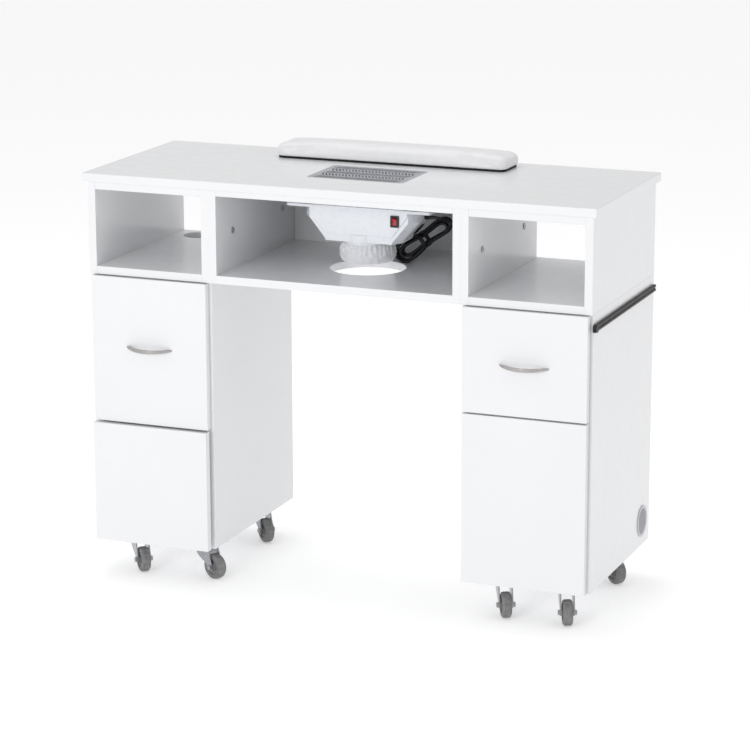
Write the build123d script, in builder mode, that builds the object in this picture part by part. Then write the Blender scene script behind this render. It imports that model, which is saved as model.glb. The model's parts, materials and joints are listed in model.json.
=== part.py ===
from build123d import *
import math
import os

# Manicure table: a top with a dust collector under it, three open cubbies, and two pedestals on
# swivel casters. Millimetres. The origin is on the floor, under the middle of the table.
# +X is to the user's right, +Y is towards the back (the client's side), +Z is up.

# ---------------------------------------------------------------- driving dimensions
# Overall
table_width = 1000.0
table_depth = 392.0
table_height = 778.0
top_thickness = 16.0
board = 15.0
overhang_side = 8.0
overhang_front = 8.0
overhang_back = 8.0

# Cubbies
cubby_height = 175.0
end_width = 246.0
centre_top_board = 12.0
centre_back_board = 15.0
shelf_hole_radius = 71.0
cable_hole_radius = 30.0
cable_hole_from_side = 66.0
cable_hole_from_back = 41.0
connector_from_front = 72.0
connector_from_back = 73.0

# Pedestals
caster_height = 72.0
pedestal_setback = 10.0
pedestal_back_board = 9.0
vent_radius = 30.0
vent_from_back = 48.0
vent_above_deck = 48.0

# Fronts
front_inset = 5.5
front_gap = 3.0
front_top_gap = 2.0
front_bumper_gap = 1.0
left_upper_front_height = 279.0
right_drawer_front_height = 193.0
lower_drawer_ajar = 7.0

# Drawer boxes and runners
drawer_board = 12.0
drawer_bottom = 4.0
drawer_bottom_rise = 10.0
drawer_height_margin = 81.0
drawer_rear_gap = 26.0
runner_gap = 12.7
runner_height = 35.0
runner_wall = 1.2
runner_short = 14.0
slide_clearance = 1.5

# Bow handles
handle_length = 94.0
handle_reach = 22.0
handle_middle = 7.0
handle_dip = 1.5
handle_foot = 9.0
handle_tip = 3.0
handle_thickness = 4.0
handle_below_top = 132.0
right_handle_below_top = 100.0

# Door hinges
hinge_cup_radius = 13.0
hinge_cup_depth = 10.0
hinge_from_edge = 22.0
hinge_from_end = 60.0
hinge_clearance = 0.6

# Casters
caster_inset_depth = 60.0
caster_inset_outer = 60.0
caster_inset_left_inner = 45.0
caster_inset_right_inner = 66.0
wheel_radius = 24.0
wheel_width = 18.0
caster_trail = 26.0
axle_radius = 3.0
running_clearance = 0.06
fork_sheet = 2.5
fork_gap = 2.0
kingpin_radius = 4.0
caster_plate = 50.0
caster_plate_thickness = 2.5
raceway_gap = 0.5
kingpin_head_thickness = 2.5
kingpin_head_lip = 2.5
caster_plate_corner = 6.0
caster_screw_radius = 2.5
caster_screw_inset = 7.0
axle_boss = 6.5
axle_head = 4.0
axle_head_radius = 5.0
wheel_shoulder = 5.0
wheel_dish_radius = 15.0
wheel_dish_depth = 2.5
wheel_hub_radius = 8.0
wheel_boss_radius = 7.0
left_caster_angles = (43.0, 68.0, 50.0, 48.0)
right_caster_angles = (28.0, 24.0, 40.0, 52.0)

# Side strip
strip_height = 13.0
strip_thickness = 6.0
strip_below_cubby = 25.0
strip_front_reach = 6.0
strip_back_gap = 5.0

# Armrest
armrest_length = 468.0
armrest_depth = 88.0
armrest_height = 32.0
armrest_back_gap = 24.0
armrest_base = 3.0
armrest_base_inset = 4.0
armrest_corner = 18.0
armrest_soft_edge = 12.0

# Dust collector
collector_from_front = 171.0
grille_width = 190.0
grille_depth = 137.0
grille_thickness = 1.2
grille_lip = 6.0
grille_corner = 9.0
grille_rows = 5
slot_pitch = 6.6
slot_width = 3.2
slot_angle = 24.0
slot_row_gap = 2.5
collector_wall = 2.5
flange_width = 286.0
flange_depth = 104.0
flange_thickness = 5.0
flange_drop = 38.0
body_width = 226.0
body_depth = 98.0
body_corner = 15.0
body_corner_depth = 22.0
body_upright = 19.0
body_slope_height = 39.0
body_bottom_width = 158.0
body_bottom_corner = 13.0
body_bottom_height = 3.0
chin_radius = 40.0
chin_reach = 5.0
cover_thickness = 2.5
cover_bottom_width = 134.0
cover_top_width = 194.0
cover_upright = 7.0
cover_height = 47.0
cover_corner = 6.0
outlet_radius = 44.0
collar_wall = 3.0
collar_height = 18.0
bag_radius = 52.5
bag_depth = 24.0
bag_neck_drop = 6.0
bag_cloth = 1.2
bag_clearance = 0.4
fan_radius = 40.0
fan_hub_radius = 18.0
fan_height = 12.0
fan_blades = 7
fan_rise = 4.0
motor_radius = 17.0
motor_height = 24.0
motor_shaft_radius = 2.0
motor_arm = 7.0
switch_width = 15.0
switch_height = 20.0
switch_from_middle = 73.0
switch_below_flange = 16.5
switch_frame = 2.5
rocker_tilt = 9.0
louvre_width = 20.0
louvre_height = 24.0
louvre_down_slope = 28.0

# Mains cord
cord_diameter = 6.0
cord_length = 1800.0
gland_length = 9.0
gland_radius = 5.0
hank_length = 128.0
hank_width = 44.0
hank_thickness = 28.0
hank_lean = 35.0
hank_from_middle = 86.0
hank_soft_edge = 9.0
plug_from_middle = 176.0
plug_behind_hank = 54.0
plug_length = 34.0
plug_width = 24.0
plug_height = 18.0
plug_blade = 16.0

# ---------------------------------------------------------------- derived places
carcass_width = table_width - 2 * overhang_side
carcass_depth = table_depth - overhang_front - overhang_back
centre_width = carcass_width - 2 * end_width
pedestal_depth = carcass_depth - pedestal_setback
pedestal_height = table_height - top_thickness - cubby_height - caster_height
inner_width = end_width - 2 * board

top_z = table_height - top_thickness
cubby_z = top_z - cubby_height
deck_z = caster_height

front_face_reach = front_bumper_gap + board - pedestal_setback
foremost = front_face_reach + handle_reach
front_y = (foremost - (carcass_depth + overhang_back)) / 2
back_y = front_y + carcass_depth
pedestal_y = front_y + pedestal_setback
carcass_mid_y = front_y + carcass_depth / 2
pedestal_mid_y = (pedestal_y + back_y) / 2
front_panel_y = front_y - front_face_reach

pedestal_x = carcass_width / 2 - end_width / 2
side_x = end_width / 2 - board / 2
outer_x = carcass_width / 2

front_width = end_width - 2 * front_inset
fronts_top = cubby_z - front_top_gap
left_split = fronts_top - left_upper_front_height
right_split = fronts_top - right_drawer_front_height
divider_z = right_split - front_gap / 2

collector_y = front_y + collector_from_front
shelf_top_z = cubby_z + board

os.makedirs("parts", exist_ok=True)


def save(builder, label):
    """Names a finished piece and writes it as one STEP file."""
    builder.part.label = label
    export_step(builder.part, f"parts/{label}.step")


def sheet_plane(z):
    """A horizontal sketch plane at height z."""
    return Plane.XY.offset(z)


def front_plane(y):
    """A vertical sketch plane facing the user, at depth y: x to the right, y up."""
    return Plane(origin=(0, y, 0), x_dir=(1, 0, 0), z_dir=(0, -1, 0))


# ---------------------------------------------------------------- top
top_mid_y = front_y - overhang_front + table_depth / 2
grille_recess = grille_thickness + 0.5
with BuildPart() as tabletop:
    with BuildSketch(sheet_plane(top_z)):
        with Locations((0, top_mid_y)):
            RectangleRounded(table_width, table_depth, 3)
    extrude(amount=top_thickness)
    fillet(tabletop.faces().sort_by(Axis.Z)[-1].edges(), 1.5)
    with BuildSketch(sheet_plane(table_height - grille_recess)):
        with Locations((0, collector_y)):
            RectangleRounded(grille_width + 1, grille_depth + 1, grille_corner)
    extrude(amount=grille_recess, mode=Mode.SUBTRACT)
    with BuildSketch(sheet_plane(top_z)):
        with Locations((0, collector_y)):
            Rectangle(grille_width - 2 * grille_lip, grille_depth - 2 * grille_lip)
    extrude(amount=top_thickness, mode=Mode.SUBTRACT)
save(tabletop, "tabletop")

# The metal grille drops into the recess. Its slots slant one way and then the other, row by row.
row_pitch = (grille_depth - 2 * grille_lip - 2) / grille_rows
slot_length = (row_pitch - slot_row_gap - slot_width) / math.cos(math.radians(slot_angle)) + slot_width
slots_per_row = int((grille_width - 2 * grille_lip - slot_length * 0.5) / slot_pitch)
with BuildPart() as vent_grille:
    with BuildSketch(sheet_plane(table_height - grille_recess)):
        with Locations((0, collector_y)):
            RectangleRounded(grille_width, grille_depth, grille_corner - 0.5)
    extrude(amount=grille_thickness)
    with BuildSketch(sheet_plane(table_height - grille_recess)):
        for row in range(grille_rows):
            row_y = collector_y + (row - (grille_rows - 1) / 2) * row_pitch
            lean = slot_angle if row % 2 else -slot_angle
            with Locations((0, row_y)):
                with GridLocations(slot_pitch, 1, slots_per_row, 1):
                    SlotOverall(slot_length, slot_width, rotation=90 + lean)
    extrude(amount=grille_thickness, mode=Mode.SUBTRACT)
save(vent_grille, "vent_grille")

# ---------------------------------------------------------------- cubbies
centre_side_x = centre_width / 2 - board / 2
cubby_mid_z = cubby_z + cubby_height / 2
connector_z = cubby_mid_z
connector_ys = (front_y + connector_from_front, back_y - connector_from_back)
connector_radius = 3.0
wall_joint_x = centre_width / 2


def side_boards(xs, drilled):
    """Upright cubby walls at the given x, with the connector holes drilled where drilled is true."""
    with BuildPart() as walls:
        with Locations([(x, carcass_mid_y, cubby_mid_z) for x in xs]):
            Box(board, carcass_depth, cubby_height)
        drill_xs = [x for x, hole in zip(xs, drilled) if hole]
        with Locations([(x, y, connector_z) for x in drill_xs for y in connector_ys]):
            Cylinder(connector_radius + 0.05, board, rotation=(0, 90, 0), mode=Mode.SUBTRACT)
    return walls


end_xs = (-pedestal_x - side_x, -pedestal_x + side_x, pedestal_x - side_x, pedestal_x + side_x)
end_cubby_sides = side_boards(end_xs, (False, True, True, False))
save(end_cubby_sides, "end_cubby_sides")

centre_cubby_sides = side_boards((-centre_side_x, centre_side_x), (True, True))
save(centre_cubby_sides, "centre_cubby_sides")

with BuildPart() as cubby_tops:
    with Locations([(x, carcass_mid_y, top_z - board / 2) for x in (-pedestal_x, pedestal_x)]):
        Box(inner_width, carcass_depth, board)
    with Locations((0, carcass_mid_y, top_z - centre_top_board / 2)):
        Box(centre_width - 2 * board, carcass_depth, centre_top_board)
    with Locations((0, collector_y, top_z - centre_top_board / 2)):
        Box(grille_width, grille_depth, centre_top_board, mode=Mode.SUBTRACT)
save(cubby_tops, "cubby_tops")

cable_hole = (
    -outer_x + cable_hole_from_side,
    back_y - cable_hole_from_back,
    cubby_z + board / 2,
)
with BuildPart() as end_cubby_floors:
    with Locations([(x, carcass_mid_y, cubby_z + board / 2) for x in (-pedestal_x, pedestal_x)]):
        Box(inner_width, carcass_depth, board)
    with Locations(cable_hole):
        Cylinder(cable_hole_radius, board, mode=Mode.SUBTRACT)
save(end_cubby_floors, "end_cubby_floors")

with BuildPart() as centre_cubby_shelf:
    with Locations((0, carcass_mid_y, cubby_z + board / 2)):
        Box(centre_width - 2 * board, carcass_depth, board)
    with Locations((0, collector_y, cubby_z + board / 2)):
        Cylinder(shelf_hole_radius, board, mode=Mode.SUBTRACT)
    fillet(centre_cubby_shelf.edges().filter_by(GeomType.CIRCLE), 1)
save(centre_cubby_shelf, "centre_cubby_shelf")

centre_back_height = cubby_height - board - centre_top_board
with BuildPart() as centre_cubby_back:
    with Locations((0, back_y - centre_back_board / 2, shelf_top_z + centre_back_height / 2)):
        Box(centre_width - 2 * board, centre_back_board, centre_back_height)
save(centre_cubby_back, "centre_cubby_back")

# Each connector is a bolt with a wide hex-socket head on both faces of the doubled wall.
connector_head_radius = 6.0
connector_head = 2.0
socket_radius = 2.4
socket_depth = 1.5
with BuildPart() as cubby_connectors:
    for wall_x in (-wall_joint_x, wall_joint_x):
        for y in connector_ys:
            with Locations((wall_x, y, connector_z)):
                Cylinder(connector_radius, 2 * board, rotation=(0, 90, 0))
            for side in (-1, 1):
                head_x = wall_x + side * (board + connector_head / 2)
                with Locations((head_x, y, connector_z)):
                    Cylinder(connector_head_radius, connector_head, rotation=(0, 90, 0))
                face_x = wall_x + side * (board + connector_head)
                with BuildSketch(Plane((face_x, y, connector_z), z_dir=(side, 0, 0))):
                    RegularPolygon(socket_radius, 6)
                extrude(amount=-socket_depth, mode=Mode.SUBTRACT)
save(cubby_connectors, "cubby_connectors")

# ---------------------------------------------------------------- pedestals
side_mid_z = deck_z + pedestal_height / 2


def pedestal_side(x):
    """Adds one upright pedestal side to the current part."""
    with Locations((x, pedestal_mid_y, side_mid_z)):
        Box(board, pedestal_depth, pedestal_height)


with BuildPart() as pedestal_sides:
    for x in end_xs[:3]:
        pedestal_side(x)
save(pedestal_sides, "pedestal_sides")

vent_y = back_y - vent_from_back
vent_z = deck_z + vent_above_deck
vent_body_radius = vent_radius - 4
with BuildPart() as right_outer_side:
    pedestal_side(end_xs[3])
    with Locations((end_xs[3], vent_y, vent_z)):
        Cylinder(vent_body_radius + 0.3, board, rotation=(0, 90, 0), mode=Mode.SUBTRACT)
save(right_outer_side, "right_outer_side")

with BuildPart() as pedestal_decks:
    for x in (-pedestal_x, pedestal_x):
        for z in (deck_z + board / 2, cubby_z - board / 2):
            with Locations((x, pedestal_mid_y, z)):
                Box(inner_width, pedestal_depth, board)
    with Locations((pedestal_x, pedestal_mid_y - pedestal_back_board / 2, divider_z)):
        Box(inner_width, pedestal_depth - pedestal_back_board, board)
    with Locations((cable_hole[0], cable_hole[1], cubby_z - board / 2)):
        Cylinder(cable_hole_radius, board, mode=Mode.SUBTRACT)
save(pedestal_decks, "pedestal_decks")

with BuildPart() as pedestal_backs:
    for x in (-pedestal_x, pedestal_x):
        with Locations((x, back_y - pedestal_back_board / 2, side_mid_z)):
            Box(inner_width, pedestal_back_board, pedestal_height - 2 * board)
save(pedestal_backs, "pedestal_backs")

# A round louvred vent pressed into the right side: a flange, a short sleeve and slanted bars.
vent_flange = 1.6
with BuildPart() as side_vent:
    with BuildSketch(Plane((outer_x, vent_y, vent_z), z_dir=(1, 0, 0))):
        Circle(vent_radius)
    extrude(amount=vent_flange)
    with BuildSketch(Plane((outer_x, vent_y, vent_z), z_dir=(1, 0, 0))):
        Circle(vent_body_radius)
    extrude(amount=-(board - 3))
    with BuildSketch(Plane((outer_x + vent_flange, vent_y, vent_z), z_dir=(1, 0, 0))):
        Circle(vent_body_radius - 2)
        with GridLocations(1, 6.4, 1, 8):
            Rectangle(2 * vent_radius, 2.2, mode=Mode.SUBTRACT)
    extrude(amount=-board, mode=Mode.SUBTRACT)
save(side_vent, "side_vent")

# A black extruded strip runs along the right side, just under the cubby: a thick rounded bar
# with a groove along its face and a bull nose at the front end.
strip_z = cubby_z - strip_below_cubby
strip_start_y = pedestal_y - strip_front_reach
strip_length = back_y - strip_back_gap - strip_start_y
with BuildPart() as side_strip:
    strip_end_plane = Plane((outer_x, strip_start_y, strip_z), x_dir=(1, 0, 0), z_dir=(0, 1, 0))
    with BuildSketch(strip_end_plane):
        with Locations((strip_thickness / 2, 0)):
            RectangleRounded(strip_thickness, strip_height, 2)
        with Locations((strip_thickness, 0)):
            Circle(1.6, mode=Mode.SUBTRACT)
    extrude(amount=strip_length)
    with BuildSketch(Plane((outer_x, strip_start_y + strip_height / 2, strip_z), z_dir=(1, 0, 0))):
        Circle(strip_height / 2 + 0.8)
    extrude(amount=strip_thickness + 1)
save(side_strip, "side_strip")

# ---------------------------------------------------------------- fronts, drawers, handles
box_width = inner_width - 2 * runner_gap
box_front_y = front_panel_y + board
box_depth = back_y - pedestal_back_board - drawer_rear_gap - box_front_y
runner_length = box_depth - 20


def front_panel(x, bottom, height, shift=0.0):
    """An overlay front with softly rounded edges; shift moves it forwards."""
    with BuildPart() as panel:
        with Locations((x, front_panel_y + board / 2 - shift, bottom + height / 2)):
            Box(front_width, board, height)
        fillet(panel.faces().sort_by(Axis.Y)[0].edges(), 1.2)
    return panel


def drawer_box(x, front_bottom, front_height, shift=0.0):
    """Four drawer walls, a bottom and the two slide members that ride in the runners."""
    height = front_height - drawer_height_margin
    bottom = front_bottom + (front_height - height) / 2
    near = box_front_y - shift
    mid_y = near + box_depth / 2
    mid_z = bottom + height / 2
    with BuildPart() as box:
        with Locations([(x + s * (box_width - drawer_board) / 2, mid_y, mid_z) for s in (-1, 1)]):
            Box(drawer_board, box_depth, height)
    inner = box_width - 2 * drawer_board
    with BuildPart() as cross_walls:
        for y in (near + drawer_board / 2, near + box_depth - drawer_board / 2):
            with Locations((x, y, mid_z)):
                Box(inner, drawer_board, height)
    with BuildPart() as base:
        with Locations((x, mid_y, bottom + drawer_bottom_rise + drawer_bottom / 2)):
            Box(inner, box_depth - 2 * drawer_board, drawer_bottom)
    slide_width = runner_gap - runner_wall - slide_clearance
    with BuildPart() as slides:
        for s in (-1, 1):
            with Locations((x + s * (box_width + slide_width) / 2, near + 10 + runner_length / 2, mid_z)):
                Box(slide_width, runner_length, runner_short)
    solids = [*box.solids(), *cross_walls.solids(), *base.solids(), *slides.solids()]
    return Compound(children=solids), mid_z


def bow_handle(x, z, shift=0.0):
    """A crescent bow: an arch in plan, cut to a lens that is tall in the middle."""
    face_y = front_panel_y - shift
    half = handle_length / 2
    inner_half = half - handle_foot
    with BuildPart() as handle:
        with BuildSketch(sheet_plane(z - handle_middle)):
            with BuildLine():
                ThreePointArc((x - half, face_y), (x, face_y - handle_reach), (x + half, face_y))
                Line((x + half, face_y), (x + inner_half, face_y))
                ThreePointArc(
                    (x + inner_half, face_y),
                    (x, face_y - handle_reach + handle_thickness),
                    (x - inner_half, face_y),
                )
                Line((x - inner_half, face_y), (x - half, face_y))
            make_face()
        extrude(amount=2 * handle_middle)
        with BuildSketch(front_plane(face_y)):
            with BuildLine():
                ThreePointArc(
                    (x - half, z + handle_tip / 2),
                    (x, z + handle_middle / 2 - handle_dip),
                    (x + half, z + handle_tip / 2),
                )
                Line((x + half, z + handle_tip / 2), (x + half, z - handle_tip / 2))
                ThreePointArc(
                    (x + half, z - handle_tip / 2),
                    (x, z - handle_middle / 2 - handle_dip),
                    (x - half, z - handle_tip / 2),
                )
                Line((x - half, z - handle_tip / 2), (x - half, z + handle_tip / 2))
            make_face()
        extrude(amount=2 * handle_reach, both=True, mode=Mode.INTERSECT)
    return handle


left_lower_height = left_split - front_gap - deck_z
door_height = right_split - front_gap - deck_z

drawer_specs = {
    "left_upper_drawer": (-pedestal_x, left_split, left_upper_front_height, 0.0),
    "left_lower_drawer": (-pedestal_x, deck_z, left_lower_height, lower_drawer_ajar),
    "right_drawer": (pedestal_x, right_split, right_drawer_front_height, 0.0),
}
runner_places = []
for drawer, (x, bottom, height, shift) in drawer_specs.items():
    save(front_panel(x, bottom, height, shift), f"{drawer}_front")
    box, slide_z = drawer_box(x, bottom, height, shift)
    box.label = f"{drawer}_box"
    export_step(box, f"parts/{drawer}_box.step")
    runner_places.append((x, slide_z))

save(bow_handle(-pedestal_x, fronts_top - handle_below_top), "left_upper_handle")
save(bow_handle(pedestal_x, fronts_top - right_handle_below_top), "right_handle")

# Fixed runner channels, one on each side of each drawer.
with BuildPart() as drawer_runners:
    for x, z in runner_places:
        for s in (-1, 1):
            wall_x = x + s * inner_width / 2
            mid_x = wall_x - s * (runner_gap - slide_clearance) / 2
            cut_x = mid_x - s * runner_wall
            mid_y = box_front_y + 12 + runner_length / 2
            channel = (runner_gap - slide_clearance, runner_length)
            with Locations((mid_x, mid_y, z)):
                Box(*channel, runner_height)
            with Locations((cut_x, mid_y, z)):
                Box(*channel, runner_height - 2 * runner_wall, mode=Mode.SUBTRACT)
save(drawer_runners, "drawer_runners")

# ---------------------------------------------------------------- door and its hinges
# The door turns about the vertical line at its front outer corner.
door_outer_x = pedestal_x + front_width / 2
hinge_x = door_outer_x - hinge_from_edge
hinge_zs = (deck_z + hinge_from_end, deck_z + door_height - hinge_from_end)
with BuildPart() as door:
    with Locations((pedestal_x, front_panel_y + board / 2, deck_z + door_height / 2)):
        Box(front_width, board, door_height)
    fillet(door.faces().sort_by(Axis.Y)[0].edges(), 1.2)
    with Locations([(hinge_x, box_front_y - hinge_cup_depth / 2, z) for z in hinge_zs]):
        Cylinder(hinge_cup_radius + 0.05, hinge_cup_depth, rotation=(90, 0, 0), mode=Mode.SUBTRACT)
save(door, "door")

with BuildPart() as hinge_cups:
    for z in hinge_zs:
        with Locations((hinge_x, box_front_y - hinge_cup_depth / 2, z)):
            Cylinder(hinge_cup_radius, hinge_cup_depth, rotation=(90, 0, 0))
        with Locations((hinge_x, box_front_y - hinge_cup_depth / 2 + 1, z)):
            Cylinder(hinge_cup_radius - 1.2, hinge_cup_depth, rotation=(90, 0, 0), mode=Mode.SUBTRACT)
save(hinge_cups, "hinge_cups")

arm_near_y = box_front_y + hinge_clearance
arm_length = 52.0
arm_wall_x = pedestal_x + inner_width / 2
with BuildPart() as hinge_arms:
    for z in hinge_zs:
        with Locations((arm_wall_x - 3, pedestal_y + 30 + 14, z)):
            Box(6, 28, 44)
        with Locations((arm_wall_x - 6 - 4, arm_near_y + arm_length / 2, z)):
            Box(8, arm_length, 14)
save(hinge_arms, "hinge_arms")

# ---------------------------------------------------------------- casters
race_z = deck_z - caster_plate_thickness - raceway_gap
crown_z = race_z - 3.0 - fork_sheet
leg_y = wheel_width / 2 + fork_gap
caster_places = []
caster_ys = (front_y + caster_inset_depth, back_y - caster_inset_depth)
caster_sets = (
    (-pedestal_x, caster_inset_outer, caster_inset_left_inner, left_caster_angles),
    (pedestal_x, caster_inset_right_inner, caster_inset_outer, right_caster_angles),
)
for centre_x, left_inset, right_inset, angles in caster_sets:
    left_x = centre_x - end_width / 2 + left_inset
    right_x = centre_x + end_width / 2 - right_inset
    corners = [(x, y) for y in caster_ys for x in (left_x, right_x)]
    caster_places += [(x, y, angle) for (x, y), angle in zip(corners, angles)]


def caster_frame(x, y, angle):
    """The caster's own plane: its x axis points from the pivot to the wheel."""
    turn = math.radians(angle)
    return Plane(origin=(x, y, 0), x_dir=(math.sin(turn), -math.cos(turn), 0), z_dir=(0, 0, 1))


def upright(frame, offset=0.0):
    """The upright plane through the caster's own x axis, moved sideways by offset."""
    side = frame.z_dir.cross(frame.x_dir)
    return Plane(origin=frame.origin + side * offset, x_dir=frame.x_dir, z_dir=-side)


def caster_fork(frame):
    """A pressed fork: race disc, crown and two tapering legs, with the axle bolt through them."""
    with BuildPart() as fork:
        with BuildSketch(frame.offset(race_z - 3.0)):
            Circle(17)
        extrude(amount=3.0)
        with BuildSketch(frame.offset(crown_z)):
            with Locations((2, 0)):
                RectangleRounded(38, 2 * (leg_y + fork_sheet), 3)
        extrude(amount=fork_sheet)
        for side in (-1, 1):
            near = leg_y if side > 0 else -leg_y - fork_sheet
            with BuildSketch(upright(frame, near)) as leg:
                with BuildLine():
                    Polyline((-16, crown_z + fork_sheet), (20, crown_z + fork_sheet), (20, crown_z - 4))
                    Line((20, crown_z - 4), (caster_trail + axle_boss, wheel_radius))
                    ThreePointArc(
                        (caster_trail + axle_boss, wheel_radius),
                        (caster_trail, wheel_radius - axle_boss),
                        (caster_trail - axle_boss, wheel_radius),
                    )
                    Spline(
                        (caster_trail - axle_boss, wheel_radius),
                        (-2, crown_z - 24),
                        (-16, crown_z + fork_sheet),
                        tangents=[(-0.5, 1), (-0.05, 1)],
                    )
                make_face()
            extrude(amount=-fork_sheet)
        with BuildSketch(upright(frame)):
            with Locations((caster_trail, wheel_radius)):
                Circle(axle_radius + 0.05)
        extrude(amount=leg_y + 2 * fork_sheet, both=True, mode=Mode.SUBTRACT)
        with BuildSketch(frame.offset(crown_z)):
            Circle(kingpin_radius + running_clearance)
        extrude(amount=race_z - crown_z, mode=Mode.SUBTRACT)
    with BuildPart() as axle:
        with BuildSketch(upright(frame)):
            with Locations((caster_trail, wheel_radius)):
                Circle(axle_radius)
        extrude(amount=leg_y + fork_sheet, both=True)
        for side in (-1, 1):
            with BuildSketch(upright(frame, side * (leg_y + fork_sheet))):
                with Locations((caster_trail, wheel_radius)):
                    RegularPolygon(axle_head_radius, 6)
            extrude(amount=-side * axle_head)
    return Compound(children=[*fork.solids(), *axle.solids()])


def caster_wheel(frame):
    """A rubber-tyred wheel with rounded shoulders, a dished side and a plain bearing."""
    half = wheel_width / 2
    with BuildPart() as wheel:
        with BuildSketch(upright(frame)):
            with Locations((caster_trail, wheel_radius)):
                Circle(wheel_radius)
        extrude(amount=half, both=True)
        fillet(wheel.edges().filter_by(GeomType.CIRCLE), wheel_shoulder)
        for side in (-1, 1):
            with BuildSketch(upright(frame, side * half)):
                with Locations((caster_trail, wheel_radius)):
                    Circle(wheel_dish_radius)
                    Circle(wheel_hub_radius, mode=Mode.SUBTRACT)
            extrude(amount=side * wheel_dish_depth, mode=Mode.SUBTRACT)
            with BuildSketch(upright(frame, side * half)):
                with Locations((caster_trail, wheel_radius)):
                    Circle(wheel_boss_radius)
            extrude(amount=-side * (fork_gap - raceway_gap))
        with BuildSketch(upright(frame)):
            with Locations((caster_trail, wheel_radius)):
                Circle(axle_radius + running_clearance)
        extrude(amount=wheel_width, both=True, mode=Mode.SUBTRACT)
    return wheel


for number, place in enumerate(caster_places, start=1):
    frame = caster_frame(*place)
    fork = caster_fork(frame)
    fork.label = f"caster_fork_{number}"
    export_step(fork, f"parts/caster_fork_{number}.step")
    save(caster_wheel(frame), f"caster_wheel_{number}")

# Fixed plates: each carries a kingpin whose riveted head holds the fork's crown.
with BuildPart() as caster_plates:
    for x, y, angle in caster_places:
        with BuildSketch(Plane.XY.offset(deck_z - caster_plate_thickness)):
            with Locations((x, y)):
                RectangleRounded(caster_plate, caster_plate, caster_plate_corner)
                screw_pitch = caster_plate - 2 * caster_screw_inset
                with GridLocations(screw_pitch, screw_pitch, 2, 2):
                    Circle(caster_screw_radius, mode=Mode.SUBTRACT)
        extrude(amount=caster_plate_thickness)
        with BuildSketch(Plane.XY.offset(crown_z - 0.3)):
            with Locations((x, y)):
                Circle(kingpin_radius)
        extrude(amount=deck_z - crown_z + 0.3 - 1)
        with BuildSketch(Plane.XY.offset(crown_z - 0.3 - kingpin_head_thickness)):
            with Locations((x, y)):
                Circle(kingpin_radius + kingpin_head_lip)
        extrude(amount=kingpin_head_thickness)
save(caster_plates, "caster_plates")

# ---------------------------------------------------------------- armrest
armrest_mid_y = back_y + overhang_back - armrest_back_gap - armrest_depth / 2
with BuildPart() as armrest_base_board:
    with BuildSketch(sheet_plane(table_height)):
        with Locations((0, armrest_mid_y)):
            RectangleRounded(
                armrest_length - 2 * armrest_base_inset,
                armrest_depth - 2 * armrest_base_inset,
                armrest_corner - armrest_base_inset,
            )
    extrude(amount=armrest_base)
save(armrest_base_board, "armrest_base")

with BuildPart() as armrest_cushion:
    with BuildSketch(sheet_plane(table_height + armrest_base)):
        with Locations((0, armrest_mid_y)):
            RectangleRounded(armrest_length, armrest_depth, armrest_corner)
    extrude(amount=armrest_height - armrest_base)
    fillet(armrest_cushion.faces().sort_by(Axis.Z)[-1].edges(), armrest_soft_edge)
save(armrest_cushion, "armrest_cushion")

# ---------------------------------------------------------------- dust collector
flange_top = top_z - flange_drop
flange_bottom = flange_top - flange_thickness
knee_z = flange_bottom - body_upright
slope_z = knee_z - body_slope_height
body_bottom = slope_z - body_bottom_height
cover_bottom_z = flange_bottom - cover_height
body_front_y = collector_y - body_depth / 2 + cover_thickness
body_true_depth = body_depth - cover_thickness
body_mid_y = collector_y + cover_thickness / 2
hopper_top = table_height - grille_recess
hopper_width = grille_width - 2 * grille_lip - 2
hopper_depth = grille_depth - 2 * grille_lip - 2


def octagon(width, depth, cut_x, cut_y):
    """An oblong outline with its four corners cut off, at the collector's middle."""
    w = width / 2
    d = depth / 2
    points = [(w - cut_x, -d), (w, -d + cut_y), (w, d - cut_y), (w - cut_x, d)]
    points += [(-x, y) for x, y in reversed(points)]
    with Locations((0, body_mid_y)):
        Polygon(*points, align=None)


def collector_shape(inset, rise):
    """The body from the flange down to its bottom: inset shrinks it, rise carries it up further."""
    depth = body_true_depth - 2 * inset
    top_outline = (body_width - 2 * inset, depth, body_corner, body_corner_depth)
    bottom_outline = (body_bottom_width - 2 * inset, depth, body_bottom_corner, body_corner_depth)
    with BuildPart() as shape:
        with BuildSketch(sheet_plane(knee_z)):
            octagon(*top_outline)
        extrude(amount=body_upright + rise)
        with BuildSketch(sheet_plane(knee_z)):
            octagon(*top_outline)
        with BuildSketch(sheet_plane(slope_z)):
            octagon(*bottom_outline)
        loft(ruled=True)
        with BuildSketch(sheet_plane(slope_z)):
            octagon(*bottom_outline)
        extrude(amount=-body_bottom_height + inset)
    return shape.part


def hopper_shape(inset, rise):
    """The funnel from the grille down to the flange."""
    with BuildPart() as shape:
        with BuildSketch(sheet_plane(flange_top - inset)):
            with Locations((0, collector_y)):
                Rectangle(hopper_width - 2 * inset, body_true_depth - 2 * collector_wall - 2 * inset)
        with BuildSketch(sheet_plane(top_z - centre_top_board)):
            with Locations((0, collector_y)):
                Rectangle(hopper_width - 2 * inset, hopper_depth - 2 * inset)
        loft(ruled=True)
        with BuildSketch(sheet_plane(top_z - centre_top_board)):
            with Locations((0, collector_y)):
                Rectangle(hopper_width - 2 * inset, hopper_depth - 2 * inset)
        extrude(amount=hopper_top - top_z + centre_top_board + rise)
    return shape.part


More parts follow.
